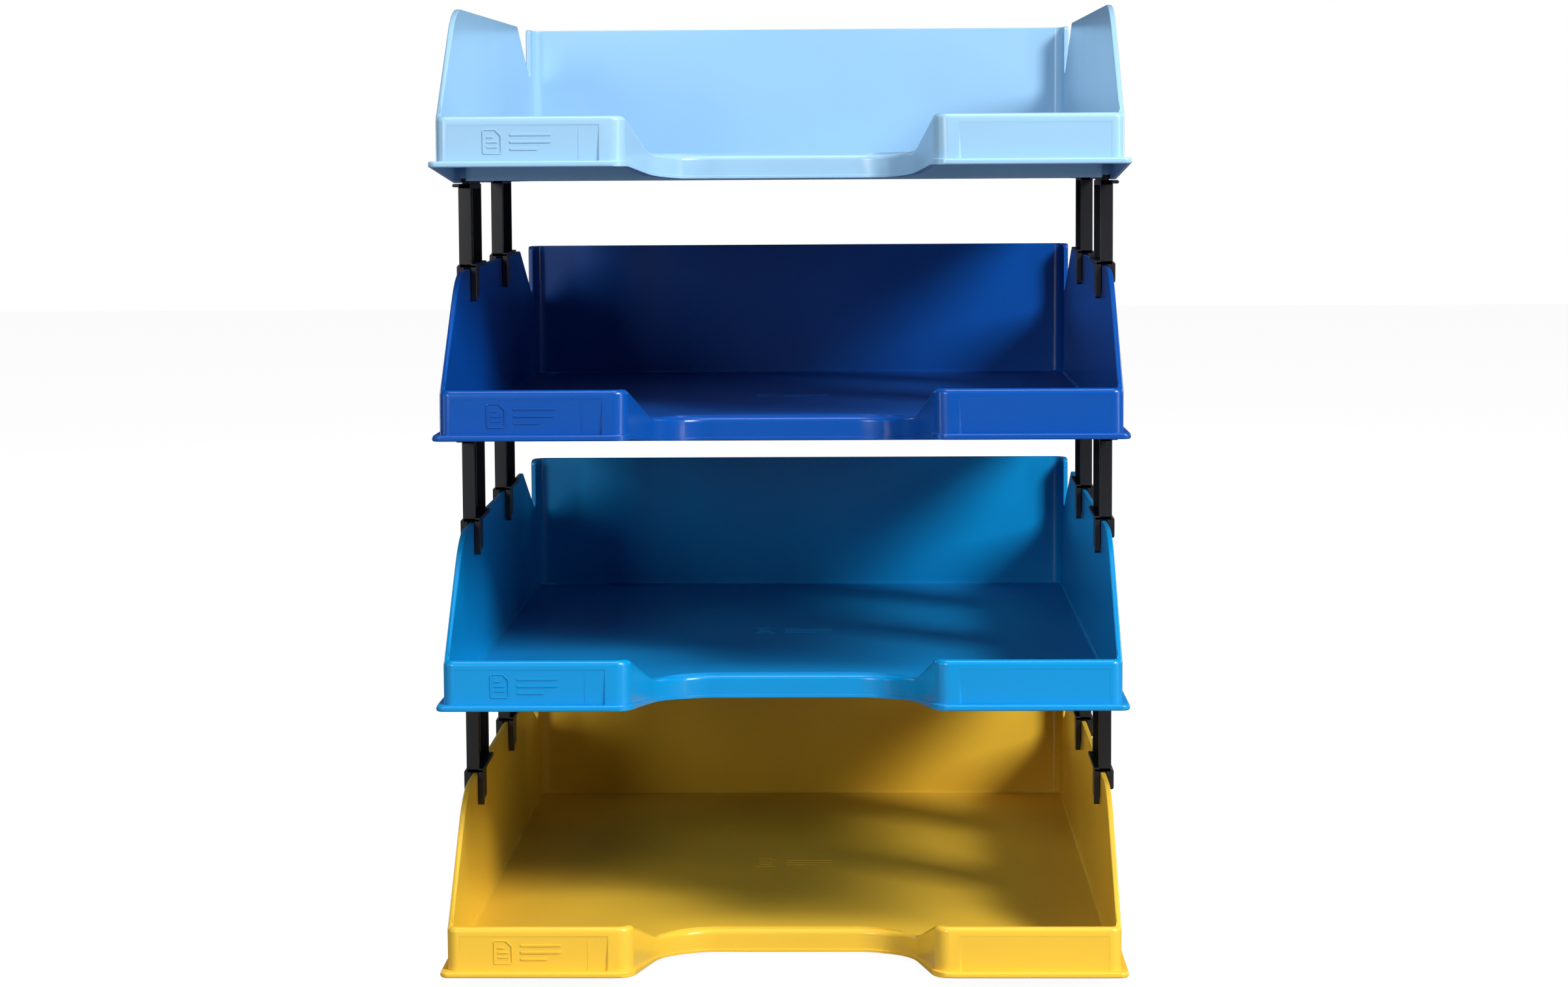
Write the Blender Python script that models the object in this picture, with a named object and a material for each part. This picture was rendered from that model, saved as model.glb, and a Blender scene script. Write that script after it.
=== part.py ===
"""A stack of four open letter trays, each carried on four clip-on risers.

Each tray is one moulding: a floor with a flange round it, thin walls, two label
pads at the front with a finger scoop between them, and a skirt underneath. Each
riser clips over the side wall of the tray below and plugs into the channel
under the tray above.

Units are metres, +Z is up. X is the width, the fronts face -Y, and the origin is
the centre of the footprint, on the surface that the stack stands on.
Tray sections are drawn from the tray's own datum: x from its middle, y back from
its front edge, z up from the surface that it stands on.
"""
import math

import bmesh
import bpy
from mathutils import Matrix, Vector

MM = 0.001

# Overall sizes
WIDTH = 255 * MM
DEPTH = 347 * MM
PITCH = 99.6 * MM            # from one tray to the next
GAP = 0.3 * MM               # between pieces that touch

# Tray section
WALL = 2.1 * MM
FLOOR_UNDER = 7.6 * MM
FLOOR = 2.0 * MM
FLANGE_UNDER = 5.8 * MM
FLANGE = 2.2 * MM
FLANGE_LIP = 2.5 * MM        # how far the flange stands out of the walls
CORNER_FRONT = 4 * MM
CORNER_BACK = 11 * MM
PAD_TOP = 24.7 * MM
SIDE_FRONT_TOP = 65.8 * MM   # the side wall's top where its front slope ends
SIDE_BACK_TOP = 68.9 * MM
BACK_TOP = 69.5 * MM
FRONT_SLOPE_START = 5 * MM
FRONT_SLOPE_END = 57 * MM
FRONT_PEAK_RADIUS = 40 * MM
NOTCH_START = 72 * MM        # the notch's front end, from the back edge
NOTCH_END = 17 * MM          # its back end, from the back edge
NOTCH_BOTTOM = 43.5 * MM

# Finger scoop
SCOOP_WIDTH = 111 * MM       # at the front
SCOOP_INNER_WIDTH = 92 * MM
SCOOP_DEPTH = 61 * MM
SCOOP_RIM = 11.2 * MM
SCOOP_UNDER = 1.2 * MM

# Label panels, sunk into the pads
PANEL_START = 65 * MM        # from the middle of the tray
PANEL_END = 121.2 * MM
PANEL_TOP = 21.3 * MM
PANEL_DEPTH_TOP = 0.35 * MM
PANEL_DEPTH_BOTTOM = 0.9 * MM

# Underside
SKIRT = 1.6 * MM
SKIRT_FULL_FROM = 75 * MM    # where the side skirts reach their full depth
CHANNEL = 4.6 * MM           # width of the channel that the risers plug into
INNER_WALL = 1.8 * MM
INNER_WALL_UNDER = 0.8 * MM
CROSS_RIB = 1.6 * MM
CROSS_RIB_UNDER = 1.8 * MM

# Risers
RISER_FRONTS = (88 * MM, 200 * MM)   # the front face of each, back from the tray's front edge
RISER_LENGTH = 35 * MM
RISER_WIDTH = 5 * MM
RISER_WEB = 1.4 * MM
RISER_FLANGE = 1.8 * MM
RISER_SHELF = 1.6 * MM
RISER_CAP = 2 * MM
LEG = 2.9 * MM
LEG_DROP = 7 * MM
TONGUE = 2.1 * MM
TONGUE_LENGTH = 13.5 * MM
TONGUE_DROP = 13 * MM
LEDGE = 2.3 * MM             # how far the top ledge stands out of the column
TAB = 3 * MM
TAB_HEIGHT = 5.2 * MM
TAB_ROOM = 0.4 * MM          # between a tab and the tray over it

TRAYS = (
    ("bottom_tray", "yellow_plastic", (0.86, 0.52, 0.045)),
    ("lower_middle_tray", "process_blue_plastic", (0.0, 0.29, 0.63)),
    ("upper_middle_tray", "dark_blue_plastic", (0.004, 0.06, 0.40)),
    ("top_tray", "light_blue_plastic", (0.33, 0.60, 0.86)),
)
SIDES = (("left", -1), ("right", 1))
ENDS = ("front", "rear")


# Scene ---------------------------------------------------------------------

def empty_scene():
    for obj in list(bpy.data.objects):
        bpy.data.objects.remove(obj, do_unlink=True)


def new_collection(name):
    collection = bpy.data.collections.new(name)
    bpy.context.scene.collection.children.link(collection)
    return collection


def plastic(name, colour, roughness):
    material = bpy.data.materials.new(name)
    material.use_nodes = True
    shader = material.node_tree.nodes["Principled BSDF"]
    shader.inputs["Base Color"].default_value = (*colour, 1)
    shader.inputs["Roughness"].default_value = roughness
    shader.inputs["Metallic"].default_value = 0
    return material


# Outlines ------------------------------------------------------------------

def rounded(corners):
    """Points of a closed outline whose corners, (x, y, radius), are turned into arcs."""
    points = []
    for i, (x, y, radius) in enumerate(corners):
        here = Vector((x, y))
        before = (Vector(corners[i - 1][:2]) - here).normalized()
        after = (Vector(corners[(i + 1) % len(corners)][:2]) - here).normalized()
        if radius <= 0:
            points.append(here)
            continue
        half = before.angle(after) / 2
        reach = radius / math.tan(half)
        centre = here + (before + after).normalized() * (radius / math.sin(half))
        start = here + before * reach - centre
        turn = start.angle_signed(here + after * reach - centre)
        steps = max(3, round(abs(turn) / math.radians(14)))
        for step in range(steps + 1):
            angle = -turn * step / steps
            points.append(centre + Matrix.Rotation(angle, 2) @ start)
    return points


def inset(corners, distance):
    """The outline moved inwards by distance; the corners run anticlockwise."""
    moved = []
    for i, (x, y, radius) in enumerate(corners):
        here = Vector((x, y))
        along_in = (here - Vector(corners[i - 1][:2])).normalized()
        along_out = (Vector(corners[(i + 1) % len(corners)][:2]) - here).normalized()
        normal_in = Vector((-along_in.y, along_in.x))
        normal_out = Vector((-along_out.y, along_out.x))
        shift = (normal_in + normal_out) * (distance / (1 + normal_in.dot(normal_out)))
        convex = along_in.cross(along_out) > 0
        moved_radius = radius - distance if convex else radius + distance
        moved.append((x + shift.x, y + shift.y, max(moved_radius, 0)))
    return moved


def prism(name, outlines, low, high, axis="Z"):
    """A solid from flat outlines, pulled from low to high along an axis.

    An outline inside another is a hole. Along X the outlines hold (y, z).
    """
    curve = bpy.data.curves.new(name, "CURVE")
    curve.dimensions = "2D"
    curve.fill_mode = "BOTH"
    curve.extrude = (high - low) / 2
    for points in outlines:
        spline = curve.splines.new("POLY")
        spline.points.add(len(points) - 1)
        for point, (u, v) in zip(spline.points, points):
            point.co = (u, v, 0, 1)
        spline.use_cyclic_u = True
    guide = bpy.data.objects.new(name, curve)
    bpy.context.scene.collection.objects.link(guide)
    bpy.context.view_layer.update()
    graph = bpy.context.evaluated_depsgraph_get()
    mesh = bpy.data.meshes.new_from_object(guide.evaluated_get(graph))
    bpy.data.objects.remove(guide, do_unlink=True)
    mesh.name = name
    middle = (low + high) / 2
    if axis == "X":
        place = Matrix(((0, 0, 1, middle), (1, 0, 0, 0), (0, 1, 0, 0), (0, 0, 0, 1)))
    else:
        place = Matrix.Translation((0, 0, middle))
    solid = bmesh.new()
    solid.from_mesh(mesh)
    bmesh.ops.remove_doubles(solid, verts=solid.verts, dist=1e-6)
    bmesh.ops.transform(solid, matrix=place, verts=solid.verts)
    bmesh.ops.recalc_face_normals(solid, faces=solid.faces)
    bmesh.ops.dissolve_limit(solid, angle_limit=1e-4, verts=solid.verts, edges=solid.edges)
    solid.to_mesh(mesh)
    solid.free()
    return mesh


def block(name, x, y, z):
    """A box between two values on each axis."""
    mesh = bpy.data.meshes.new(name)
    solid = bmesh.new()
    bmesh.ops.create_cube(solid, size=1)
    size = Matrix.Diagonal((x[1] - x[0], y[1] - y[0], z[1] - z[0], 1))
    middle = Matrix.Translation((sum(x) / 2, sum(y) / 2, sum(z) / 2))
    bmesh.ops.transform(solid, matrix=middle @ size, verts=solid.verts)
    solid.to_mesh(mesh)
    solid.free()
    return mesh


def combined(name, first, others, operation):
    """The first mesh joined with, cut by or limited to the others, in turn."""
    base = bpy.data.objects.new(name, first)
    bpy.context.scene.collection.objects.link(base)
    tools = []
    for i, mesh in enumerate(others):
        tool = bpy.data.objects.new(f"{name}_tool_{i}", mesh)
        bpy.context.scene.collection.objects.link(tool)
        tools.append(tool)
        step = base.modifiers.new(f"{operation.lower()}_{i}", "BOOLEAN")
        step.operation = operation
        step.object = tool
    bpy.context.view_layer.update()
    graph = bpy.context.evaluated_depsgraph_get()
    result = bpy.data.meshes.new_from_object(base.evaluated_get(graph))
    result.name = name
    for obj in (base, *tools):
        bpy.data.objects.remove(obj, do_unlink=True)
    return result


# Tray ----------------------------------------------------------------------

def plan_corners():
    """The outside of the walls, seen from above, anticlockwise from the left front."""
    side = WIDTH / 2 - FLANGE_LIP
    front, back = FLANGE_LIP, DEPTH - FLANGE_LIP
    mouth, throat = SCOOP_WIDTH / 2, SCOOP_INNER_WIDTH / 2
    return [
        (-side, front, CORNER_FRONT),
        (-mouth, front, 5 * MM),
        (-throat, SCOOP_DEPTH, 13 * MM),
        (throat, SCOOP_DEPTH, 13 * MM),
        (mouth, front, 5 * MM),
        (side, front, CORNER_FRONT),
        (side, back, CORNER_BACK),
        (-side, back, CORNER_BACK),
    ]


def flange_corners():
    """The walls' outline moved out to the flange's edge. In the scoop the flange runs
    back into the wall."""
    corners = inset(plan_corners(), -FLANGE_LIP)
    corners[2:4] = inset(plan_corners(), WALL * 0.4)[2:4]
    return corners


def side_profile():
    """The walls' outline from the side, as (y, z). Round the scoop they reach down to
    its skirt's lower edge, and elsewhere into the flange."""
    notch_front, notch_back = DEPTH - NOTCH_START, DEPTH - NOTCH_END
    rim = FLANGE_UNDER + FLANGE / 2
    return rounded([
        (-DEPTH, rim, 0),
        (FLANGE_LIP, rim, 0),
        (SCOOP_DEPTH, SCOOP_UNDER, 0),
        (SCOOP_DEPTH * 1.2, SCOOP_UNDER, 0),
        (SCOOP_DEPTH * 1.2, rim, 0),
        (DEPTH * 2, rim, 0),
        (DEPTH * 2, BACK_TOP, 0),
        (notch_back, BACK_TOP, 2 * MM),
        (notch_back, NOTCH_BOTTOM, 5 * MM),
        (notch_front, SIDE_BACK_TOP, 5 * MM),
        (FRONT_SLOPE_END, SIDE_FRONT_TOP, FRONT_PEAK_RADIUS),
        (FRONT_SLOPE_START, PAD_TOP, 2 * MM),
        (-DEPTH, PAD_TOP, 0),
    ])


def side_top(y):
    """Height of the side wall's top at y, between its front slope and its notch."""
    share = (y - FRONT_SLOPE_END) / (DEPTH - NOTCH_START - FRONT_SLOPE_END)
    return SIDE_FRONT_TOP + (SIDE_BACK_TOP - SIDE_FRONT_TOP) * share


def tray_walls():
    corners = plan_corners()
    ring = prism("walls", [rounded(corners), rounded(inset(corners, WALL))],
                 -PAD_TOP, BACK_TOP + 5 * MM)
    limit = prism("side_limit", [side_profile()], -WIDTH, WIDTH, axis="X")
    ring = combined("walls", ring, [limit], "INTERSECT")
    reach = SCOOP_WIDTH / 2 + 6 * MM
    rim = FLANGE_UNDER + FLANGE / 2
    below = [block("below", x, (-DEPTH, DEPTH * 2), (-PITCH, rim))
             for x in ((reach, WIDTH), (-WIDTH, -reach))]
    # What the scoop takes off the walls between the pads.
    above_scoop = rounded([
        (0, BACK_TOP * 2, 0),
        (0, PAD_TOP + 4 * MM, 0),
        (FRONT_SLOPE_START, PAD_TOP, 6 * MM),
        (SCOOP_DEPTH - 4 * MM, SCOOP_RIM, 25 * MM),
        (SCOOP_DEPTH + 20 * MM, SCOOP_RIM, 0),
        (SCOOP_DEPTH + 20 * MM, BACK_TOP * 2, 0),
    ])
    scoop = prism("scoop", [above_scoop], -reach, reach, axis="X")
    return combined("walls", ring, [*below, scoop], "DIFFERENCE")


def tray_underside():
    """The skirts and the walls and ribs of the channels."""
    half = WIDTH / 2
    channel_in = half - SKIRT - CHANNEL
    top = FLOOR_UNDER + FLOOR / 2
    rim = FLANGE_UNDER + FLANGE / 2
    outer = [(-half, -half, 0), (half, -half, 0),
             (half, DEPTH, CORNER_BACK + FLANGE_LIP), (-half, DEPTH, CORNER_BACK + FLANGE_LIP)]
    skirt = prism("skirt", [rounded(outer), rounded(inset(outer, SKIRT))], 0, rim)
    skirt_side = rounded([
        (DEPTH * 2, 0, 0),
        (DEPTH * 2, DEPTH, 0),
        (0, DEPTH, 0),
        (0, FLANGE_UNDER, 0),
        (CORNER_FRONT, FLANGE_UNDER, 0),
        (SKIRT_FULL_FROM, 0, 12 * MM),
    ])
    limit = prism("skirt_limit", [skirt_side], -WIDTH, WIDTH, axis="X")
    pieces = [combined("skirt", skirt, [limit], "INTERSECT")]
    front = SCOOP_DEPTH + WALL / 2
    frame = [(-channel_in, front, 3 * MM), (channel_in, front, 3 * MM),
             (channel_in, DEPTH - 20 * MM, 3 * MM), (-channel_in, DEPTH - 20 * MM, 3 * MM)]
    pieces.append(prism("frame", [rounded(frame), rounded(inset(frame, INNER_WALL))],
                        INNER_WALL_UNDER, top))
    for start in RISER_FRONTS:
        for y in (start - GAP - CROSS_RIB, start + RISER_LENGTH + GAP):
            for x in (-half + SKIRT / 2, channel_in - INNER_WALL / 2):
                pieces.append(block("rib", (x, x + CHANNEL + SKIRT / 2 + INNER_WALL / 2),
                                    (y, y + CROSS_RIB), (CROSS_RIB_UNDER, top)))
    return pieces


def riser_seat(start):
    """How much further up under a tray a riser reaches than the front ones do: the side
    walls rise slowly to the back."""
    return side_top(start) - side_top(RISER_FRONTS[0])


def riser_room(start):
    """What is cut away on both sides for the risers that start at this distance back."""
    half = WIDTH / 2
    along = (start - GAP, start + RISER_LENGTH + GAP)
    seat = riser_seat(start)
    channel = sorted((half - SKIRT, half - SKIRT - CHANNEL))
    boxes = [(channel, seat + TAB_HEIGHT + TAB_ROOM)]
    if start != RISER_FRONTS[0]:
        boxes.append(((half - SKIRT - CHANNEL / 2, half * 2), seat))
    rooms = []
    for (low, high), top in boxes:
        rooms.append(block("room", (low, high), along, (-5 * MM, top)))
        rooms.append(block("room", (-high, -low), along, (-5 * MM, top)))
    return rooms


def tray_mesh():
    inside = rounded(inset(plan_corners(), WALL * 0.6))
    floor = prism("floor", [inside], FLOOR_UNDER, FLOOR_UNDER + FLOOR)
    within = rounded(inset(plan_corners(), WALL * 0.8))
    flange = prism("flange", [rounded(flange_corners()), within],
                   FLANGE_UNDER, FLANGE_UNDER + FLANGE)
    body = combined("tray", floor, [flange, tray_walls(), *tray_underside()], "UNION")
    cutters = [room for start in RISER_FRONTS for room in riser_room(start)]
    for side in (-1, 1):
        bottom = FLANGE_UNDER + FLANGE
        panel = [(-5 * MM, bottom), (-5 * MM, PANEL_TOP),
                 (FLANGE_LIP + PANEL_DEPTH_TOP, PANEL_TOP),
                 (FLANGE_LIP + PANEL_DEPTH_BOTTOM, bottom)]
        low, high = sorted((side * PANEL_START, side * PANEL_END))
        cutters.append(prism("panel", [panel], low, high, axis="X"))
    return combined("tray", body, cutters, "DIFFERENCE")


# Riser ---------------------------------------------------------------------

def riser_height():
    """From the wall top under the shelf's front to the skirt of the tray above."""
    return PITCH - side_top(RISER_FRONTS[0]) - 2 * GAP


def riser_mesh():
    """One riser, for the right side: x outwards from the wall's inner face, y back from
    its own front face, z up from the underside of its shelf."""
    height = riser_height()
    inner = -0.7 * MM
    outer = inner + RISER_WIDTH
    fall = side_top(RISER_LENGTH) - side_top(0)
    column = [(inner, 0), (outer, 0), (outer, RISER_LENGTH), (inner, RISER_LENGTH),
              (inner, RISER_LENGTH - RISER_FLANGE),
              (outer - RISER_WEB, RISER_LENGTH - RISER_FLANGE),
              (outer - RISER_WEB, RISER_FLANGE), (inner, RISER_FLANGE)]
    parts = [prism("column", [column], RISER_SHELF / 2, height - RISER_CAP / 2)]
    tongue_x = (-GAP - TONGUE, -GAP)
    leg_x = (WALL + GAP, WALL + GAP + LEG)
    shelf = [(0, 0), (RISER_LENGTH, fall), (RISER_LENGTH, fall + RISER_SHELF), (0, RISER_SHELF)]
    parts.append(prism("shelf", [shelf], tongue_x[0], leg_x[1], axis="X"))
    tongue = rounded([(0, RISER_SHELF / 2, 0), (0, -TONGUE_DROP, 1.2 * MM),
                      (TONGUE_LENGTH, -TONGUE_DROP, 1.2 * MM), (TONGUE_LENGTH, fall + RISER_SHELF / 2, 0)])
    parts.append(prism("tongue", [tongue], *tongue_x, axis="X"))
    leg = rounded([(0, RISER_SHELF, 0), (0, -LEG_DROP, 1.5 * MM), (RISER_LENGTH, -LEG_DROP, 1.5 * MM),
                   (RISER_LENGTH, fall + RISER_SHELF, 0)])
    parts.append(prism("leg", [leg], *leg_x, axis="X"))
    parts.append(block("cap", (inner, outer), (0, RISER_LENGTH), (height - RISER_CAP, height)))
    parts.append(block("ledge", (outer - 1 * MM, outer + LEDGE), (0, RISER_LENGTH),
                       (height - RISER_CAP * 0.7, height)))
    tab_out = WIDTH / 2 - SKIRT - GAP - (WIDTH / 2 - FLANGE_LIP - WALL)
    parts.append(block("tab", (tab_out - TAB, tab_out), (GAP, RISER_LENGTH - GAP),
                       (height - RISER_CAP / 2, height + TAB_HEIGHT)))
    return combined("riser", parts[0], parts[1:], "UNION")


def mirrored(mesh, name):
    """The same solid for the other side."""
    copy = mesh.copy()
    copy.name = name
    solid = bmesh.new()
    solid.from_mesh(copy)
    bmesh.ops.transform(solid, matrix=Matrix.Diagonal((-1, 1, 1, 1)), verts=solid.verts)
    bmesh.ops.reverse_faces(solid, faces=solid.faces)
    solid.to_mesh(copy)
    solid.free()
    return copy


# Assembly ------------------------------------------------------------------

def place(collection, name, mesh, material, location):
    mesh.materials.clear()
    mesh.materials.append(material)
    mesh.shade_smooth()
    mesh.set_sharp_from_angle(angle=math.radians(30))
    obj = bpy.data.objects.new(name, mesh)
    obj.location = location
    collection.objects.link(obj)


def main():
    empty_scene()
    stack = new_collection("letter_tray_stack")
    tray = tray_mesh()
    risers = {"right": riser_mesh()}
    risers["left"] = mirrored(risers["right"], "riser_left")
    black = plastic("black_plastic", (0.012, 0.012, 0.015), 0.42)
    front = -DEPTH / 2
    for level, (name, material, colour) in enumerate(TRAYS):
        place(stack, name, tray.copy(), plastic(material, colour, 0.32),
              (0, front, level * PITCH))
    for level in range(len(TRAYS) - 1):
        for end, start in zip(ENDS, RISER_FRONTS):
            for side, sign in SIDES:
                x = sign * (WIDTH / 2 - FLANGE_LIP - WALL)
                z = level * PITCH + side_top(start) + GAP
                place(stack, f"riser_{level + 1}_{end}_{side}", risers[side], black,
                      (x, front + start, z))


main()
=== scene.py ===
"""The letter trays' looks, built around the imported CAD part: a plain pale studio, four
moulded trays and twelve risers.

Sections are drawn in millimetres from a tray's own datum: x from its middle, y back from
its front edge, z up from the surface that it stands on.
"""

import math

import bmesh
import bpy
from mathutils import Matrix, Vector
from mathutils.geometry import delaunay_2d_cdt


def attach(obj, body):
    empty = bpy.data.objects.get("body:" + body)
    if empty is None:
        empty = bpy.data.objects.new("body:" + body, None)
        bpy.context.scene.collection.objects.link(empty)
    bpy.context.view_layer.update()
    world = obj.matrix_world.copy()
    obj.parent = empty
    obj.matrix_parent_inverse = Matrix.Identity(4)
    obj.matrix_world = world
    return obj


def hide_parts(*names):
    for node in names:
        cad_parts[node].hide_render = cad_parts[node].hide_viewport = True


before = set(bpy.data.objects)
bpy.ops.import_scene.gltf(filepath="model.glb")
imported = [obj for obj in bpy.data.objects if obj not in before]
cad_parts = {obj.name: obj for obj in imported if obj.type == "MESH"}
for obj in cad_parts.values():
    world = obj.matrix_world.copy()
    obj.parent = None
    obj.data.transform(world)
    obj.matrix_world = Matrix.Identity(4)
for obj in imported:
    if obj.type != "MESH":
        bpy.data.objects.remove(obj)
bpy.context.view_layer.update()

MM = 0.001
HALF_DEPTH = 173.5
PITCH = 99.6                 # from one tray to the next
GAP = 0.3                    # between pieces that touch

# Meshes
MERGE = 1e-3                 # points this close become one
SLIVER = 1e-4                # edges this short are dissolved
SHARP = 38                   # degrees between two faces that shade apart
FILLET_STEPS = 5

# Tray
SIDE = 125.0                 # outside of the side walls
FRONT = 2.5                  # outside of the pads
BACK = 344.5                 # outside of the back wall
EDGE = 127.5                 # outside of the flange and the skirt
REAR = 347.0                 # the tray's back edge
REAR_CORNER = 11             # radius of the flange and the skirt there
WALL = 2.1
WALL_UNDER = 6.4             # the walls reach down into the flange
FLOOR_UNDER, FLOOR_TOP = 7.6, 9.6
FLANGE_UNDER, FLANGE_TOP = 5.8, 8.0
PAD_TOP = 24.3
SCOOP_Y = 61.0
SCOOP_RIM = 9.9
SCOOP_UNDER = 1.2
SCOOP_STRAIGHT = 27.0        # half the width of its straight back
SCOOP_CORNER = 46.8          # about where that and the slanting side would meet
SCOOP_SIDE = (50.6, 37.0)    # where the slanting side starts
SCOOP_PULL = 0.62            # how far the curve is drawn into the corner
SCOOP_STEPS = 12
SCOOP_FALL = (5, 58)         # its lower edge falls between these distances back
NOTCH_BACK = 330.0
BACK_TOP = 69.5
PANEL = (65.0, 120.4, 21.3)  # its two ends and its top
RELIEF_X = 95                # the middle of the relief on the pad
RELIEF_Z = 15

# Underside
SKIRT = 1.6
SKIRT_TOP = 6.9
SKIRT_START = 2.8            # its front end
SKIRT_FULL_FROM = 75         # where it reaches its full depth
SKIRT_STEP = 1.75            # room over the rear risers
CHANNEL_EDGE = 121.3         # outside of the channels' inner walls
CHANNEL_WALL = 1.8
CHANNEL_FRONT = SCOOP_Y + 1.05
CHANNEL_BACK = 327
CHANNEL_UNDER = 0.8
RIB = 1.6
RIB_ENDS = (120.4, 126.7)
RIB_UNDER = 1.8
UNDERSIDE_TOP = 8.6          # inside the floor

# Risers
RISER_FRONTS = (88.0, 200.0)
RISER_SEATS = (66.27, 67.86)  # the side wall's top under the front ones and the rear ones
RISER_LENGTH = 35.0
RISER_INNER, RISER_OUTER = -0.7, 4.3
RISER_CAP = 2.0
RISER_SHELF = 1.6
LEDGE_OUTER = 6.6
LEDGE = 1.4                  # its thickness
LEG_DROP = 7
FINGER_DROP = 13
TONGUE_DROP = 11.3
TAB_HEIGHT = 4.2             # it stays under the flange, which the rear risers reach closer to
SIDE_SLOPE = (57.0, 65.8, 275.0, 68.9)  # y and z where the side wall's slow rise starts and ends

# Camera, in pixels of the whole image
IMAGE_WIDTH = 2408
IMAGE_MIDDLE_Y = 757.5
FOCAL_LENGTH = 5000
AXIS_Y = 716.5               # where the camera's axis meets the image
SENSOR_WIDTH = 36

# Light
AMBIENT = 0.04
FLOOR_GLOW = 0.95
LIGHTS = (  # name, position, aim, size, power
    ("key_right", (1.3, -1.3, 1.4), (0, 0, 0.12), (0.55, 0.7), 56),
    ("front_left", (-0.74, -1.6, 0.62), (0, 0, 0.15), (0.4, 0.5), 9.5),
    ("overhead", (0, -0.35, 1.9), (0, 0, 0.3), (0.8, 0.8), 11),
    ("strip_right", (1.6, -0.95, 0.3), (0, 0, 0.2), (0.16, 1.1), 7),
    ("strip_left", (-1.6, -0.8, 0.3), (0, 0, 0.2), (0.16, 1.1), 3.5),
    ("back_left", (-1.5, 1.5, 0.5), (0, 0, 0.2), (0.9, 0.9), 8),
    ("back_right", (1.6, 1.3, 0.6), (0, 0, 0.2), (0.9, 0.9), 6),
)


# Outlines ------------------------------------------------------------------

def lerp(a, b, share):
    return a + (b - a) * share


def clamped(share):
    return min(max(share, 0), 1)


def bend(points, step=9):
    """An open line through (x, y, radius) corners, with each radius turned into an arc."""
    line = [Vector(points[0][:2])]
    for before, (x, y, radius), after in zip(points, points[1:], points[2:]):
        here = Vector((x, y))
        one = (Vector(before[:2]) - here).normalized()
        two = (Vector(after[:2]) - here).normalized()
        half = one.angle(two) / 2
        if radius <= 0 or half > math.pi / 2 - 1e-4:
            line.append(here)
            continue
        centre = here + (one + two).normalized() * (radius / math.sin(half))
        start = here + one * (radius / math.tan(half)) - centre
        turn = start.angle_signed(here + two * (radius / math.tan(half)) - centre)
        count = max(3, round(abs(turn) / math.radians(step)))
        for i in range(count + 1):
            line.append(centre + Matrix.Rotation(-turn * i / count, 2) @ start)
    line.append(Vector(points[-1][:2]))
    return line


def closed(points, step=9):
    """A closed outline through (x, y, radius) corners."""
    middle = (Vector(points[0][:2]) + Vector(points[-1][:2])) / 2
    ends = (middle.x, middle.y, 0)
    return bend([ends, *points, ends], step)[1:-1]


def box_outline(x0, x1, y0, y1, radius=0.0):
    return closed([(x0, y0, radius), (x1, y0, radius), (x1, y1, radius), (x0, y1, radius)])


class Path:
    """A line seen from above with its outward side on the right, read by distance."""

    def __init__(self, line):
        self.points = [line[0]]
        for point in line[1:]:
            if (point - self.points[-1]).length > 1e-5:
                self.points.append(point)
        self.at = [0.0]
        for a, b in zip(self.points, self.points[1:]):
            self.at.append(self.at[-1] + (b - a).length)
        ways = [(b - a).normalized() for a, b in zip(self.points, self.points[1:])]
        sides = [Vector((way.y, -way.x)) for way in ways]
        self.normals = [sides[0]]
        for a, b in zip(sides, sides[1:]):
            self.normals.append((a + b) / (1 + a.dot(b)))
        self.normals.append(sides[-1])
        self.length = self.at[-1]

    def span(self, s):
        s = min(max(s, 0.0), self.length)
        for i in range(len(self.at) - 1):
            if s <= self.at[i + 1] + 1e-9:
                return i, (s - self.at[i]) / (self.at[i + 1] - self.at[i])
        return len(self.at) - 2, 1.0

    def place(self, s, out=0.0):
        i, share = self.span(s)
        point = lerp(self.points[i], self.points[i + 1], share)
        return point + lerp(self.normals[i], self.normals[i + 1], share) * out

    def find(self, test):
        """The distance of the first point that passes the test."""
        for s, point in zip(self.at, self.points):
            if test(point):
                return s
        raise ValueError("no such point on the path")

# Solids --------------------------------------------------------------------

INSIDE_EDGES = 1


def inside(loop, point):
    """Whether the point is inside the loop of points."""
    hit = False
    for a, b in zip(loop, loop[1:] + loop[:1]):
        if (a.y > point.y) != (b.y > point.y):
            hit ^= point.x < a.x + (point.y - a.y) * (b.x - a.x) / (b.y - a.y)
    return hit


def triangles(points, edges, holes):
    """Fills closed loops of edges but not holes. Returns the faces and any added points."""
    done = delaunay_2d_cdt([Vector(p) for p in points], edges, [], INSIDE_EDGES, 1e-7)
    names = {}
    added = []
    for i, origins in enumerate(done[3]):
        if origins:
            names[i] = origins[0]
        else:
            names[i] = len(points) + len(added)
            added.append(done[0][i])
    faces = []
    for face in done[2]:
        middle = sum((done[0][i] for i in face), Vector((0, 0))) / len(face)
        if not any(inside(hole, middle) for hole in holes):
            faces.append([names[i] for i in face])
    return faces, added


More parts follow.
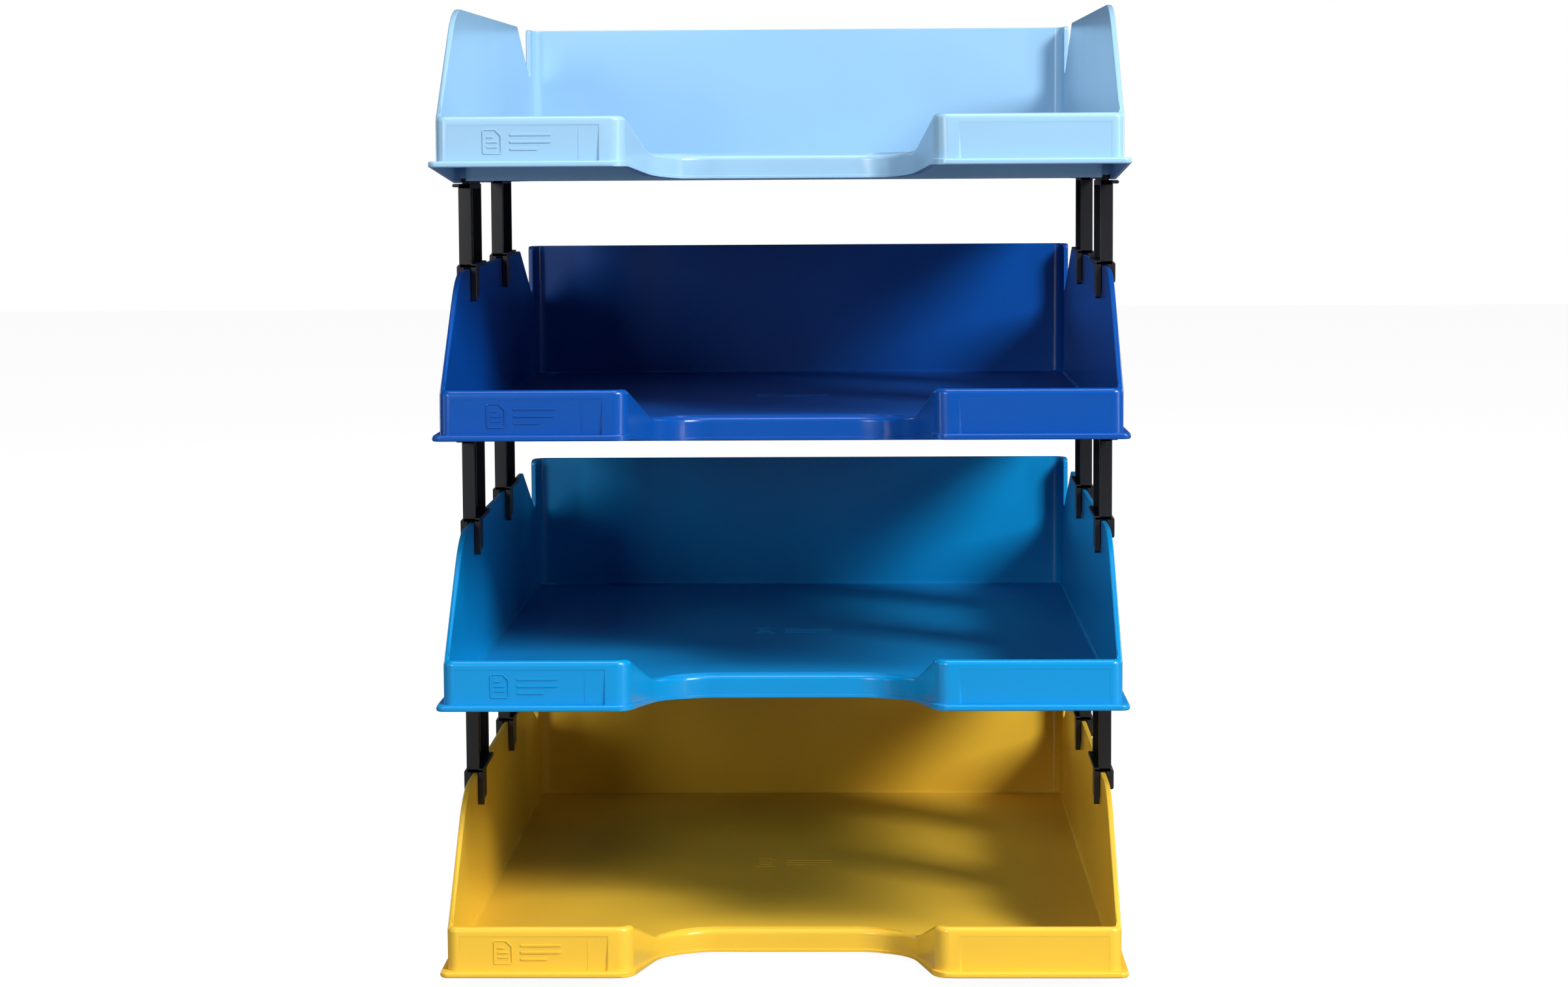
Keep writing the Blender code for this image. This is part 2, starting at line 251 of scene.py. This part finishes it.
def slab(mesh, loops, low, high, place, round_low=0.0, round_high=0.0, bends=(), dents=(),
         steps=4):
    """A plate with rounded rims, added to a bmesh.

    loops hold points (u, v) or (u, v, True) where the edge to the next point is cut open;
    the outer loop runs anticlockwise and holes run clockwise. place turns (u, v, w) into a
    position. bends are pairs of point numbers to join across both faces, and dents are closed
    loops of (u, v, w) pressed into the high face.
    """
    def radius(value, point):
        return value(*point) if callable(value) else value

    rings = []
    start = []
    total = 0
    for loop in loops:
        start.append(total)
        total += len(loop)
    offsets, flat, is_cut = [], [], []
    for loop in loops:
        count = len(loop)
        pts = [Vector(p[:2]) for p in loop]
        cut = [len(p) > 2 and bool(p[2]) for p in loop]
        inward = []
        for i in range(count):
            way = (pts[(i + 1) % count] - pts[i]).normalized()
            inward.append(Vector((-way.y, way.x)))
        for i in range(count):
            a, b = inward[i - 1], inward[i]
            if cut[i - 1] and not cut[i]:
                a = b
            elif cut[i] and not cut[i - 1]:
                b = a
            offsets.append((a + b) / max(1 + a.dot(b), 0.35) if a != b else a)
        flat += pts
        is_cut += cut
    for step in range(steps + 1):
        angle = math.pi / 2 * step / steps
        rings.append(("low", 1 - math.sin(angle), 1 - math.cos(angle)))
    for step in range(steps + 1):
        angle = math.pi / 2 * step / steps
        rings.append(("high", 1 - math.cos(angle), 1 - math.sin(angle)))
    made = []
    for side, in_share, w_share in rings:
        ring = []
        for point, offset in zip(flat, offsets):
            size = radius(round_low if side == "low" else round_high, point)
            w = low + size * w_share if side == "low" else high - size * w_share
            moved = point + offset * (size * in_share)
            ring.append((moved, w, mesh.verts.new(place(moved.x, moved.y, w))))
        made.append(ring)
    for first, count in zip(start, map(len, loops)):
        for i in range(count):
            j = (i + 1) % count
            if is_cut[first + i]:
                continue
            for lower, upper in zip(made, made[1:]):
                mesh.faces.new((lower[first + i][2], lower[first + j][2],
                                upper[first + j][2], upper[first + i][2]))
    edges = []
    for first, count in zip(start, map(len, loops)):
        edges += [(first + i, first + (i + 1) % count) for i in range(count)]
    edges += list(bends)
    for ring, w, is_high in ((made[0], low, False), (made[-1], high, True)):
        verts = [item[2] for item in ring]
        points = [item[0] for item in ring]
        ring_edges = list(edges)
        if is_high:
            for loop in dents:
                base = len(points)
                for u, v, depth in loop:
                    points.append(Vector((u, v)))
                    verts.append(mesh.verts.new(place(u, v, high - depth)))
                ring_edges += [(base + i, base + (i + 1) % len(loop))
                               for i in range(len(loop))]
        holes = [points[first:first + len(loop)] for first, loop in zip(start[1:], loops[1:])]
        faces, added = triangles(points, ring_edges, holes)
        for point in added:
            verts.append(mesh.verts.new(place(point.x, point.y, w)))
        for face in faces:
            order = face if is_high else face[::-1]
            mesh.faces.new([verts[i] for i in order])


def tidy(mesh):
    bmesh.ops.remove_doubles(mesh, verts=mesh.verts, dist=MERGE * MM)
    bmesh.ops.dissolve_degenerate(mesh, edges=mesh.edges, dist=SLIVER * MM)
    bmesh.ops.recalc_face_normals(mesh, faces=mesh.faces)


def add_other_half(mesh):
    """Mirrors the mesh across x = 0. tidy joins the two halves there."""
    result = bmesh.ops.duplicate(mesh, geom=mesh.verts[:] + mesh.faces[:])
    copies = [item for item in result["geom"] if isinstance(item, bmesh.types.BMVert)]
    faces = [item for item in result["geom"] if isinstance(item, bmesh.types.BMFace)]
    for vert in copies:
        vert.co.x = -vert.co.x
    bmesh.ops.reverse_faces(mesh, faces=faces)


def at(x, y, z):
    """A tray point in millimetres as a position in metres."""
    return Vector((x * MM, (y - HALF_DEPTH) * MM, z * MM))


# Tray ----------------------------------------------------------------------

def scoop_line():
    """The outside of the walls seen from above, from the scoop's middle to the back's."""
    corner = Vector((SCOOP_CORNER, SCOOP_Y))
    start, end = Vector((SCOOP_STRAIGHT, SCOOP_Y)), Vector(SCOOP_SIDE)
    one, two = lerp(start, corner, SCOOP_PULL), lerp(end, corner, SCOOP_PULL)
    curve = []
    for i in range(SCOOP_STEPS + 1):
        t = i / SCOOP_STEPS
        curve.append(start * (1 - t) ** 3 + one * 3 * t * (1 - t) ** 2
                     + two * 3 * t * t * (1 - t) + end * t ** 3)
    rest = bend([(*SCOOP_SIDE, 0), (56.6, FRONT, 6), (SIDE, FRONT, 4), (SIDE, BACK, 6.5),
                 (0, BACK, 0)])
    return [Vector((0, SCOOP_Y)), *curve, *rest[1:]]


WALLS = Path(scoop_line())
SIDE_START = WALLS.find(lambda p: p.x > SIDE - 1e-3)
SIDE_START_Y = WALLS.place(SIDE_START).y
PAD_START = WALLS.find(lambda p: p.y < 8.6)


def along_side(y):
    return SIDE_START + y - SIDE_START_Y


def into_scoop(y):
    start, end = SCOOP_FALL
    return clamped((y - start) / (end - start))


def scoop_under(y):
    """Height of the scoop wall's lower edge at y."""
    return lerp(FLANGE_UNDER, SCOOP_UNDER, into_scoop(y))


def wall_profile():
    """The walls' top and bottom edges as (distance, z), rounded."""
    rim_end = WALLS.find(lambda p: p.y < 46)
    pad = WALLS.find(lambda p: p.y < 8.0)
    top = bend([
        (0, SCOOP_RIM, 0),
        (WALLS.find(lambda p: p.x > 35.9), SCOOP_RIM, 25),
        (rim_end, 11.4, 22),
        (pad, PAD_TOP, 10),
        (along_side(5.2), PAD_TOP, 5),
        (along_side(57.5), 65.9, 40),
        (along_side(275), 68.6, 5),
        (along_side(325), 47.6, 2.5),
        (along_side(NOTCH_BACK - 0.15), 48.6, 1.5),
        (along_side(NOTCH_BACK), BACK_TOP, 2),
        (WALLS.length, BACK_TOP, 0),
    ], step=8)
    bottom = [(0, SCOOP_UNDER)]
    for s in WALLS.at:
        if 0 < s < PAD_START:
            bottom.append((s, scoop_under(WALLS.place(s).y)))
    bottom += [(PAD_START + 3, WALL_UNDER), (WALLS.length, WALL_UNDER)]
    return [tuple(p) for p in top], bottom


def with_stations(line, stations):
    """The line with a point added at each station where it has none."""
    line = list(line)
    for s in stations:
        if any(abs(p[0] - s) < 1e-4 for p in line):
            continue
        for i in range(len(line) - 1):
            (u0, v0), (u1, v1) = line[i], line[i + 1]
            if u0 < s < u1:
                line.insert(i + 1, (s, lerp(v0, v1, (s - u0) / (u1 - u0))))
                break
    return line


def ribbon(mesh, path, top, bottom, low, high, round_low, round_high, dents=(),
           open_start=True):
    """A wall that follows a path, between its top and bottom edges given as (s, z). Its
    far end is left open on x = 0 for the other half to join, and its start where
    open_start says so."""
    stations = path.at[1:-1]
    top, bottom = with_stations(top, stations), with_stations(bottom, stations)
    loop = list(bottom)
    loop[-1] = (*bottom[-1], True)
    loop += reversed(top)
    loop[-1] = (*top[0], open_start)
    pairs = []
    for s in stations:
        low_at = next((i for i, p in enumerate(bottom) if abs(p[0] - s) < 1e-3), None)
        top_at = next((i for i, p in enumerate(top) if abs(p[0] - s) < 1e-3), None)
        if low_at is not None and top_at is not None:
            pairs.append((low_at, len(bottom) + len(top) - 1 - top_at))

    def place(u, v, w):
        spot = path.place(u, w)
        return at(spot.x, spot.y, v)

    slab(mesh, [loop], low, high, place, round_low, round_high, pairs, dents)


def panel_depth(x, z):
    """How far the label panel is sunk at x from the middle and z up."""
    near, far, top = PANEL
    along = clamped((x - near) / (far - near))
    up = clamped((z - FLANGE_TOP) / (top - FLANGE_TOP))
    return lerp(lerp(0.9, 0.16, up), 0.08, along)


def panel_dents():
    """The label panel: loops whose step fades out at the top and towards the corner."""
    near, far, top = PANEL
    shift = WALLS.find(lambda p: p.y < FRONT + 1e-3)
    shift -= WALLS.place(shift).x
    bottom = FLANGE_TOP - 0.3
    loops = []
    for share, sunk in ((0.0, 0.0), (0.25, 0.12), (0.75, 0.88), (1.0, 1.0)):
        corners = ((near + lerp(0, 1.0, share), bottom), (far - 0.5 * share, bottom),
                   (far - 0.4 * share, top - 0.7 * share),
                   (near + lerp(0, 0.3, share), top - 0.7 * share))
        loops.append([(x + shift, z, panel_depth(x, z) * sunk) for x, z in corners])
    return loops


def relief(mesh, place, height):
    """A page with a turned corner and three short lines, beside three plain bars, raised by
    the height. It is drawn around (0, 0), 9 tall and 25 wide."""
    page = closed([(-12.5, -4.5, 0.8), (-5.5, -4.5, 0.8), (-5.5, 2.3, 0.4), (-7.7, 4.5, 0.4),
                   (-12.5, 4.5, 0.8)], step=20)
    hollow = closed([(-12.1, -4.1, 0.5), (-5.9, -4.1, 0.5), (-5.9, 2.1, 0.2), (-7.9, 4.1, 0.2),
                     (-12.1, 4.1, 0.5)], step=20)[::-1]
    slab(mesh, [page, hollow], -0.4, height, place, 0, 0.1, steps=2)
    for u0, v, u1 in ((-10.9, 1.4, -8.6), (-10.9, -0.4, -7.1), (-10.9, -2.2, -7.1)):
        slab(mesh, [box_outline(u0, u1, v, v + 0.5, 0.15)], -0.4, height, place, 0, 0.1,
             steps=2)
    for v, u1 in ((2.1, 12.5), (-0.5, 12.5), (-3.1, 7.5)):
        slab(mesh, [box_outline(-2.5, u1, v, v + 0.9, 0.4)], -0.4, height, place, 0, 0.1,
             steps=2)


def fillet(mesh, path, radius):
    """The soft corner between the floor and the walls, as a strip swept along the path."""
    section = [(-0.5, -0.5), (-0.5, radius)]
    for i in range(FILLET_STEPS + 1):
        angle = math.pi / 2 * i / FILLET_STEPS
        section.append((radius * (1 - math.cos(angle)), radius * (1 - math.sin(angle))))
    section.append((radius, -0.5))
    rows = []
    for mirror in (1, -1):
        ways = list(path.at) if mirror == 1 else list(path.at)[-2:0:-1]
        for s in ways:
            row = []
            for inward, up in section:
                spot = path.place(s, -WALL - inward)
                row.append(mesh.verts.new(at(mirror * spot.x, spot.y, FLOOR_TOP + up)))
            rows.append(row)
    for one, two in zip(rows, rows[1:] + rows[:1]):
        for i in range(len(section)):
            j = (i + 1) % len(section)
            mesh.faces.new((one[i], one[j], two[j], two[i]))


def tray_mesh():
    mesh = bmesh.new()
    top, bottom = wall_profile()
    pad_end = along_side(6)

    def outer_round(u, v):
        if v < 9:
            return 0.5
        if u < pad_end:
            return 1.9
        return lerp(1.9, 0.55, min((u - pad_end) / 12, 1)) if u < pad_end + 12 else 0.55

    def inner_round(u, v):
        return 0.15 if u < pad_end or v < 9 else 0.4

    ribbon(mesh, WALLS, top, bottom, -WALL, 0.0, inner_round, outer_round, panel_dents())

    # The skirt hangs from the flange's edge along the sides and the back.
    skirt = Path(bend([(EDGE, SKIRT_START, 0), (EDGE, REAR, REAR_CORNER), (0, REAR, 0)]))
    seat0 = RISER_FRONTS[1] - GAP - SKIRT_START
    seat1 = RISER_FRONTS[1] + RISER_LENGTH + GAP - SKIRT_START
    lower = bend([(0, FLANGE_UNDER + 0.2, 0), (SKIRT_FULL_FROM - SKIRT_START, 0, 12),
                  (seat0 - 0.02, 0, 0), (seat0, SKIRT_STEP, 0), (seat1, SKIRT_STEP, 0),
                  (seat1 + 0.02, 0, 0), (skirt.length, 0, 0)])
    ribbon(mesh, skirt, [(0, SKIRT_TOP), (skirt.length, SKIRT_TOP)], [tuple(p) for p in lower],
           -SKIRT, 0.0, 0.35, 0.45, open_start=False)
    add_other_half(mesh)

    # The flange, whose inner edge is inside the walls.
    pad = WALLS.find(lambda p: p.y < FRONT + 1e-3)
    outer = []
    for s in WALLS.at:
        if s < pad:
            share = clamped((s - PAD_START + 2) / (pad - PAD_START + 2))
            outer.append(WALLS.place(s, lerp(lerp(0.35, 0.8, s / pad), 2.5, share)))
    outer += bend([(63.5, 0, 0), (EDGE, 0, 3.2), (EDGE, REAR, REAR_CORNER), (0, REAR, 0)])
    inner = [WALLS.place(s, -1.0) for s in WALLS.at]
    right = [tuple(p) for p in outer]
    left = [(-x, y) for x, y in reversed(right)]
    hole_right = [tuple(p) for p in inner]
    hole_left = [(-x, y) for x, y in reversed(hole_right)]
    loop = right + left[1:-1]
    hole = (hole_right + hole_left[1:-1])[::-1]

    def flange_at(x, y, z):
        if abs(x) < 62.0 and y < 90:
            under = scoop_under(y)
            thick = lerp(1.0, 0.5, into_scoop(y))
            z = under + (z - FLANGE_UNDER) * thick
        return at(x, y, z)

    slab(mesh, [loop, hole], FLANGE_UNDER, FLANGE_TOP, flange_at,
         lambda u, v: 0.7 if abs(u) > 60 or v > 90 else 0.3,
         lambda u, v: 0.8 if abs(u) > 60 or v > 90 else 0.3)

    # The floor, and the soft corner where it meets the walls.
    slab(mesh, [hole[::-1]], FLOOR_UNDER, FLOOR_TOP, at)

    fillet(mesh, WALLS, 1.1)
    # A plain relief on the left pad and on the floor, and the line at the panel's left end.
    relief(mesh, lambda u, v, w: at(
        u - RELIEF_X, FRONT + panel_depth(RELIEF_X - u, v + RELIEF_Z) - w, v + RELIEF_Z), 0.22)
    relief(mesh, lambda u, v, w: at(u * 1.3, 186 + v * 1.8, FLOOR_TOP + w), 0.12)
    slab(mesh, [box_outline(-72.7, -72.5, 8.2, 20.2)], -0.4, 0.06,
         lambda u, v, w: at(u, FRONT + panel_depth(-u, v) - w, v))

    # The walls of the channels under the tray, with their cross ribs.
    inner_edge = CHANNEL_EDGE - CHANNEL_WALL
    channel_outer = box_outline(-CHANNEL_EDGE, CHANNEL_EDGE, CHANNEL_FRONT, CHANNEL_BACK, 3)
    channel_inner = box_outline(-inner_edge, inner_edge, CHANNEL_FRONT + CHANNEL_WALL,
                                CHANNEL_BACK - CHANNEL_WALL, 1.2)[::-1]
    slab(mesh, [channel_outer, channel_inner], CHANNEL_UNDER, UNDERSIDE_TOP, at, 0.3, 0)
    near, far = RIB_ENDS
    for start in RISER_FRONTS:
        for y in (start - GAP - RIB, start + RISER_LENGTH + GAP):
            for x0, x1 in ((near, far), (-far, -near)):
                slab(mesh, [box_outline(x0, x1, y, y + RIB)], RIB_UNDER, UNDERSIDE_TOP, at,
                     0.25, 0)
    tidy(mesh)
    return finished(mesh, "tray")


def finished(mesh, name):
    data = bpy.data.meshes.new(name)
    mesh.to_mesh(data)
    mesh.free()
    data.shade_smooth()
    data.set_sharp_from_angle(angle=math.radians(SHARP))
    return data


# Riser ---------------------------------------------------------------------

def riser_mesh(sign):
    """A riser on the right (sign 1) or left: x out from the wall's inner face, y back from
    its own front, z up from the underside of its shelf."""
    mesh = bmesh.new()
    height = PITCH - RISER_SEATS[0] - 2 * GAP
    y0, z0, y1, z1 = SIDE_SLOPE
    rise = RISER_LENGTH * (z1 - z0) / (y1 - y0)
    inner, outer, length = RISER_INNER, RISER_OUTER, RISER_LENGTH

    def up(x, y, z):
        return Vector((sign * x * MM, y * MM, z * MM))

    def sloped(x, y, z):
        return up(x, y, z + rise * y / length)

    def sideways(y, z, x):
        return up(x, y, z)

    def lengthways(x, z, y):
        return up(x, y, z)

    def lengthways_sloped(x, z, y):
        return sloped(x, y, z)

    column = closed([(inner, 0, 0.3), (outer, 0, 0.4), (outer, length, 0.4),
                     (inner, length, 0.3), (inner, 33.2, 0.2), (2.9, 33.2, 0.5),
                     (2.9, 1.8, 0.5), (inner, 1.8, 0.2)], step=30)
    slab(mesh, [column], 0.2, height - 0.2, up)
    slab(mesh, [box_outline(inner, outer, 0, length, 0.4)], height - RISER_CAP, height, up,
         0.25, 0.3)
    slab(mesh, [box_outline(-2.4, outer, 0, length, 0.3)], 0, RISER_SHELF, sloped, 0.2, 0.25)
    # Inside the wall: a narrow finger at the front, and the wide tongue beside it.
    finger = closed([(0, 1, 0), (0, -FINGER_DROP, 1.0), (3.2, -FINGER_DROP, 1.0), (3.2, 1, 0)])
    slab(mesh, [finger], -2.4, -0.3, sideways, 0.25, 0.1)
    tongue = closed([(2.8, 1, 0), (2.8, -TONGUE_DROP, 0), (13.5, -TONGUE_DROP, 1.2),
                     (13.5, 1, 0)])
    slab(mesh, [tongue], -2.1, -0.3, sideways, 0.25, 0.1)
    leg = closed([(2.4, -LEG_DROP, 0.5), (5.3, -LEG_DROP, 0.8), (5.3, 0.5, 0.5),
                  (4.2, 1.6, 0.5), (2.4, 1.6, 0)])
    slab(mesh, [leg], 0, length, lengthways_sloped, 0.25, 0.25)
    ledge = closed([(outer - 1, height - LEDGE, 0), (LEDGE_OUTER, height - LEDGE, 0.65),
                    (LEDGE_OUTER, height, 0.65), (outer - 1, height, 0)])
    slab(mesh, [ledge], 0, length, lengthways, 0.25, 0.25)
    tab = closed([(-0.3, height - 1, 0), (2.7, height - 1, 0), (2.7, height + TAB_HEIGHT, 0.5),
                  (-0.3, height + TAB_HEIGHT, 0.5)])
    slab(mesh, [tab], 0.3, length - 0.3, lengthways, 0.3, 0.3)
    tidy(mesh)
    return finished(mesh, "riser")


# Materials -----------------------------------------------------------------

def plastic(name, colour, shade, roughness, matt=0.0, grain=0.006):
    """Moulded plastic: slow colour drift, fine grain, a few specks, and a duller floor."""
    material = bpy.data.materials.new(name)
    material.use_nodes = True
    tree = material.node_tree
    shader = tree.nodes["Principled BSDF"]
    shader.inputs["Specular IOR Level"].default_value = 0.5
    where = tree.nodes.new("ShaderNodeTexCoord")

    def noise(scale, detail=2.0, rough=0.5):
        node = tree.nodes.new("ShaderNodeTexNoise")
        node.inputs["Scale"].default_value = scale
        node.inputs["Detail"].default_value = detail
        node.inputs["Roughness"].default_value = rough
        tree.links.new(where.outputs["Object"], node.inputs["Vector"])
        return node.outputs["Fac"]

    def scaled(value, low, high, start=0.15, end=0.85):
        node = tree.nodes.new("ShaderNodeMapRange")
        node.interpolation_type = "SMOOTHSTEP"
        node.inputs["From Min"].default_value = start
        node.inputs["From Max"].default_value = end
        node.inputs["To Min"].default_value = low
        node.inputs["To Max"].default_value = high
        tree.links.new(value, node.inputs["Value"])
        return node.outputs["Result"]

    def blend(factor, base, other):
        mix = tree.nodes.new("ShaderNodeMix")
        mix.data_type = "RGBA"
        mix.inputs["B"].default_value = (*other, 1)
        tree.links.new(factor, mix.inputs["Factor"])
        if isinstance(base, tuple):
            mix.inputs["A"].default_value = (*base, 1)
        else:
            tree.links.new(base, mix.inputs["A"])
        return mix.outputs["Result"]

    def specks(scale, size):
        """Small round spots of this radius in millimetres, this many cells to the metre."""
        cells = tree.nodes.new("ShaderNodeTexVoronoi")
        cells.inputs["Scale"].default_value = scale
        tree.links.new(where.outputs["Object"], cells.inputs["Vector"])
        edge = tree.nodes.new("ShaderNodeMapRange")
        edge.inputs["From Min"].default_value = size * scale * MM
        edge.inputs["From Max"].default_value = size * scale * MM * 1.6
        edge.inputs["To Min"].default_value = 0.6
        edge.inputs["To Max"].default_value = 0.0
        tree.links.new(cells.outputs["Distance"], edge.inputs["Value"])
        return edge.outputs["Result"]

    drift = blend(scaled(noise(scale=9, detail=3), 0, 1), colour, shade)
    dust = tuple(0.55 * c + 0.12 for c in colour)
    dusty = blend(specks(scale=85, size=0.16), drift, dust)
    spotted = blend(specks(scale=47, size=0.14), dusty, shade_of(colour, 0.35))
    tree.links.new(spotted, shader.inputs["Base Color"])
    # The floor is duller than the walls: low on the tray and facing up.
    split = tree.nodes.new("ShaderNodeSeparateXYZ")
    tree.links.new(where.outputs["Object"], split.inputs["Vector"])
    facing = tree.nodes.new("ShaderNodeSeparateXYZ")
    tree.links.new(tree.nodes.new("ShaderNodeNewGeometry").outputs["Normal"],
                   facing.inputs["Vector"])
    duller = tree.nodes.new("ShaderNodeMath")
    duller.operation = "MULTIPLY_ADD"
    tree.links.new(scaled(split.outputs["Z"], matt, 0, 9.9 * MM, 12 * MM), duller.inputs[0])
    tree.links.new(scaled(facing.outputs["Z"], 0, 1, 0.6, 0.95), duller.inputs[1])
    duller.inputs[2].default_value = roughness
    tree.links.new(duller.outputs["Value"], shader.inputs["Roughness"])
    bump = tree.nodes.new("ShaderNodeBump")
    bump.inputs["Strength"].default_value = 1.0
    bump.inputs["Distance"].default_value = grain * MM
    tree.links.new(noise(scale=1900, detail=3, rough=0.6), bump.inputs["Height"])
    tree.links.new(bump.outputs["Normal"], shader.inputs["Normal"])
    return material


def shade_of(colour, factor):
    return tuple(c * factor for c in colour)


TRAYS = (
    ("bottom_tray", "yellow_plastic", (0.88, 0.54, 0.044)),
    ("lower_middle_tray", "process_blue_plastic", (0.0, 0.27, 0.63)),
    ("upper_middle_tray", "dark_blue_plastic", (0.0, 0.072, 0.37)),
    ("top_tray", "light_blue_plastic", (0.31, 0.54, 0.76)),
)


def build_objects():
    tray = tray_mesh()
    pieces = []
    for level, (node, slot, colour) in enumerate(TRAYS):
        data = tray.copy()
        data.materials.append(plastic(slot, colour, shade_of(colour, 0.9), roughness=0.26,
                                      matt=0.2))
        piece = bpy.data.objects.new(f"moulded_{node}", data)
        piece.location = (0, 0, level * PITCH * MM)
        pieces.append((piece, node, node, slot))
    black = plastic("black_plastic", (0.004, 0.004, 0.006), (0.008, 0.008, 0.01),
                    roughness=0.4, grain=0.01)
    shapes = {"left": riser_mesh(-1), "right": riser_mesh(1)}
    for shape in shapes.values():
        shape.materials.append(black)
    for level in range(3):
        for end, start, seat in zip(("front", "rear"), RISER_FRONTS, RISER_SEATS):
            for side, sign in (("left", -1), ("right", 1)):
                node = f"riser_{level + 1}_{end}_{side}"
                piece = bpy.data.objects.new(f"moulded_{node}", shapes[side])
                piece.location = (sign * (SIDE - WALL) * MM, (start - HALF_DEPTH) * MM,
                                  (level * PITCH + seat + GAP) * MM)
                pieces.append((piece, node, f"risers_{level + 1}", "black_plastic"))
    for piece, node, body, slot in pieces:
        bpy.context.scene.collection.objects.link(piece)
        smooth = piece.modifiers.new("weighted_normals", "WEIGHTED_NORMAL")
        smooth.keep_sharp = True
        bpy.context.view_layer.update()
        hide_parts(node)
        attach(piece, body)


# Studio --------------------------------------------------------------------

def area_light(name, place, aim, size, power):
    light = bpy.data.lights.new(name, "AREA")
    light.shape = "RECTANGLE"
    light.size, light.size_y = size
    light.energy = power
    obj = bpy.data.objects.new(name, light)
    obj.location = place
    obj.rotation_euler = (Vector(aim) - Vector(place)).to_track_quat("-Z", "Y").to_euler()
    bpy.context.scene.collection.objects.link(obj)


def background():
    """White where the camera sees it, and a weak cool light for everything else."""
    world = bpy.data.worlds.new("studio")
    bpy.context.scene.world = world
    world.use_nodes = True
    tree = world.node_tree
    backdrop = tree.nodes["Background"]
    backdrop.inputs["Strength"].default_value = 1.0
    backdrop.inputs["Color"].default_value = (1, 1, 1, 1)
    ambient = tree.nodes.new("ShaderNodeBackground")
    ambient.inputs["Color"].default_value = (0.93, 0.95, 1, 1)
    ambient.inputs["Strength"].default_value = AMBIENT
    seen = tree.nodes.new("ShaderNodeLightPath")
    mix = tree.nodes.new("ShaderNodeMixShader")
    tree.links.new(seen.outputs["Is Camera Ray"], mix.inputs["Fac"])
    tree.links.new(ambient.outputs["Background"], mix.inputs[1])
    tree.links.new(backdrop.outputs["Background"], mix.inputs[2])
    tree.links.new(mix.outputs["Shader"], tree.nodes["World Output"].inputs["Surface"])


def studio_floor():
    """A pale floor that reflects less light than it shows."""
    mesh = bmesh.new()
    bmesh.ops.create_grid(mesh, x_segments=8, y_segments=8, size=6)
    data = bpy.data.meshes.new("studio_floor")
    mesh.to_mesh(data)
    mesh.free()
    floor = bpy.data.objects.new("studio_floor", data)
    floor.location = (0, 0, -0.0006)
    bpy.context.scene.collection.objects.link(floor)
    paper = bpy.data.materials.new("studio_floor")
    paper.use_nodes = True
    tree = paper.node_tree
    shader = tree.nodes["Principled BSDF"]
    shader.inputs["Base Color"].default_value = (0.2, 0.2, 0.2, 1)
    shader.inputs["Roughness"].default_value = 0.8
    shader.inputs["Emission Color"].default_value = (1, 1, 1, 1)
    seen = tree.nodes.new("ShaderNodeLightPath")
    glow = tree.nodes.new("ShaderNodeMath")
    glow.operation = "MULTIPLY"
    glow.inputs[1].default_value = FLOOR_GLOW
    tree.links.new(seen.outputs["Is Camera Ray"], glow.inputs[0])
    tree.links.new(glow.outputs["Value"], shader.inputs["Emission Strength"])
    data.materials.append(paper)


def add_camera():
    data = bpy.data.cameras.new("camera")
    data.sensor_width = SENSOR_WIDTH
    data.lens = FOCAL_LENGTH / IMAGE_WIDTH * SENSOR_WIDTH
    data.shift_y = (AXIS_Y - IMAGE_MIDDLE_Y) / IMAGE_WIDTH
    data.clip_end = 50
    camera = bpy.data.objects.new("camera", data)
    camera.location = (0.03054, -1.35347, 0.30189)
    camera.rotation_euler = camera_turn(5.153, 1.416, -0.208)
    bpy.context.scene.collection.objects.link(camera)
    bpy.context.scene.camera = camera


def camera_turn(pitch, yaw, roll):
    """Camera rotation from its pitch down and its small yaw and roll, all in degrees."""
    upright = Matrix(((1, 0, 0), (0, 0, -1), (0, 1, 0)))
    turn = (Matrix.Rotation(math.radians(roll), 3, "Z")
            @ Matrix.Rotation(math.radians(yaw), 3, "Y")
            @ Matrix.Rotation(math.radians(pitch), 3, "X"))
    return (Matrix.Diagonal((1, -1, -1)) @ turn @ upright).transposed().to_euler()


build_objects()
background()
studio_floor()
for light in LIGHTS:
    area_light(*light)
add_camera()
bpy.context.scene.view_settings.view_transform = "Standard"
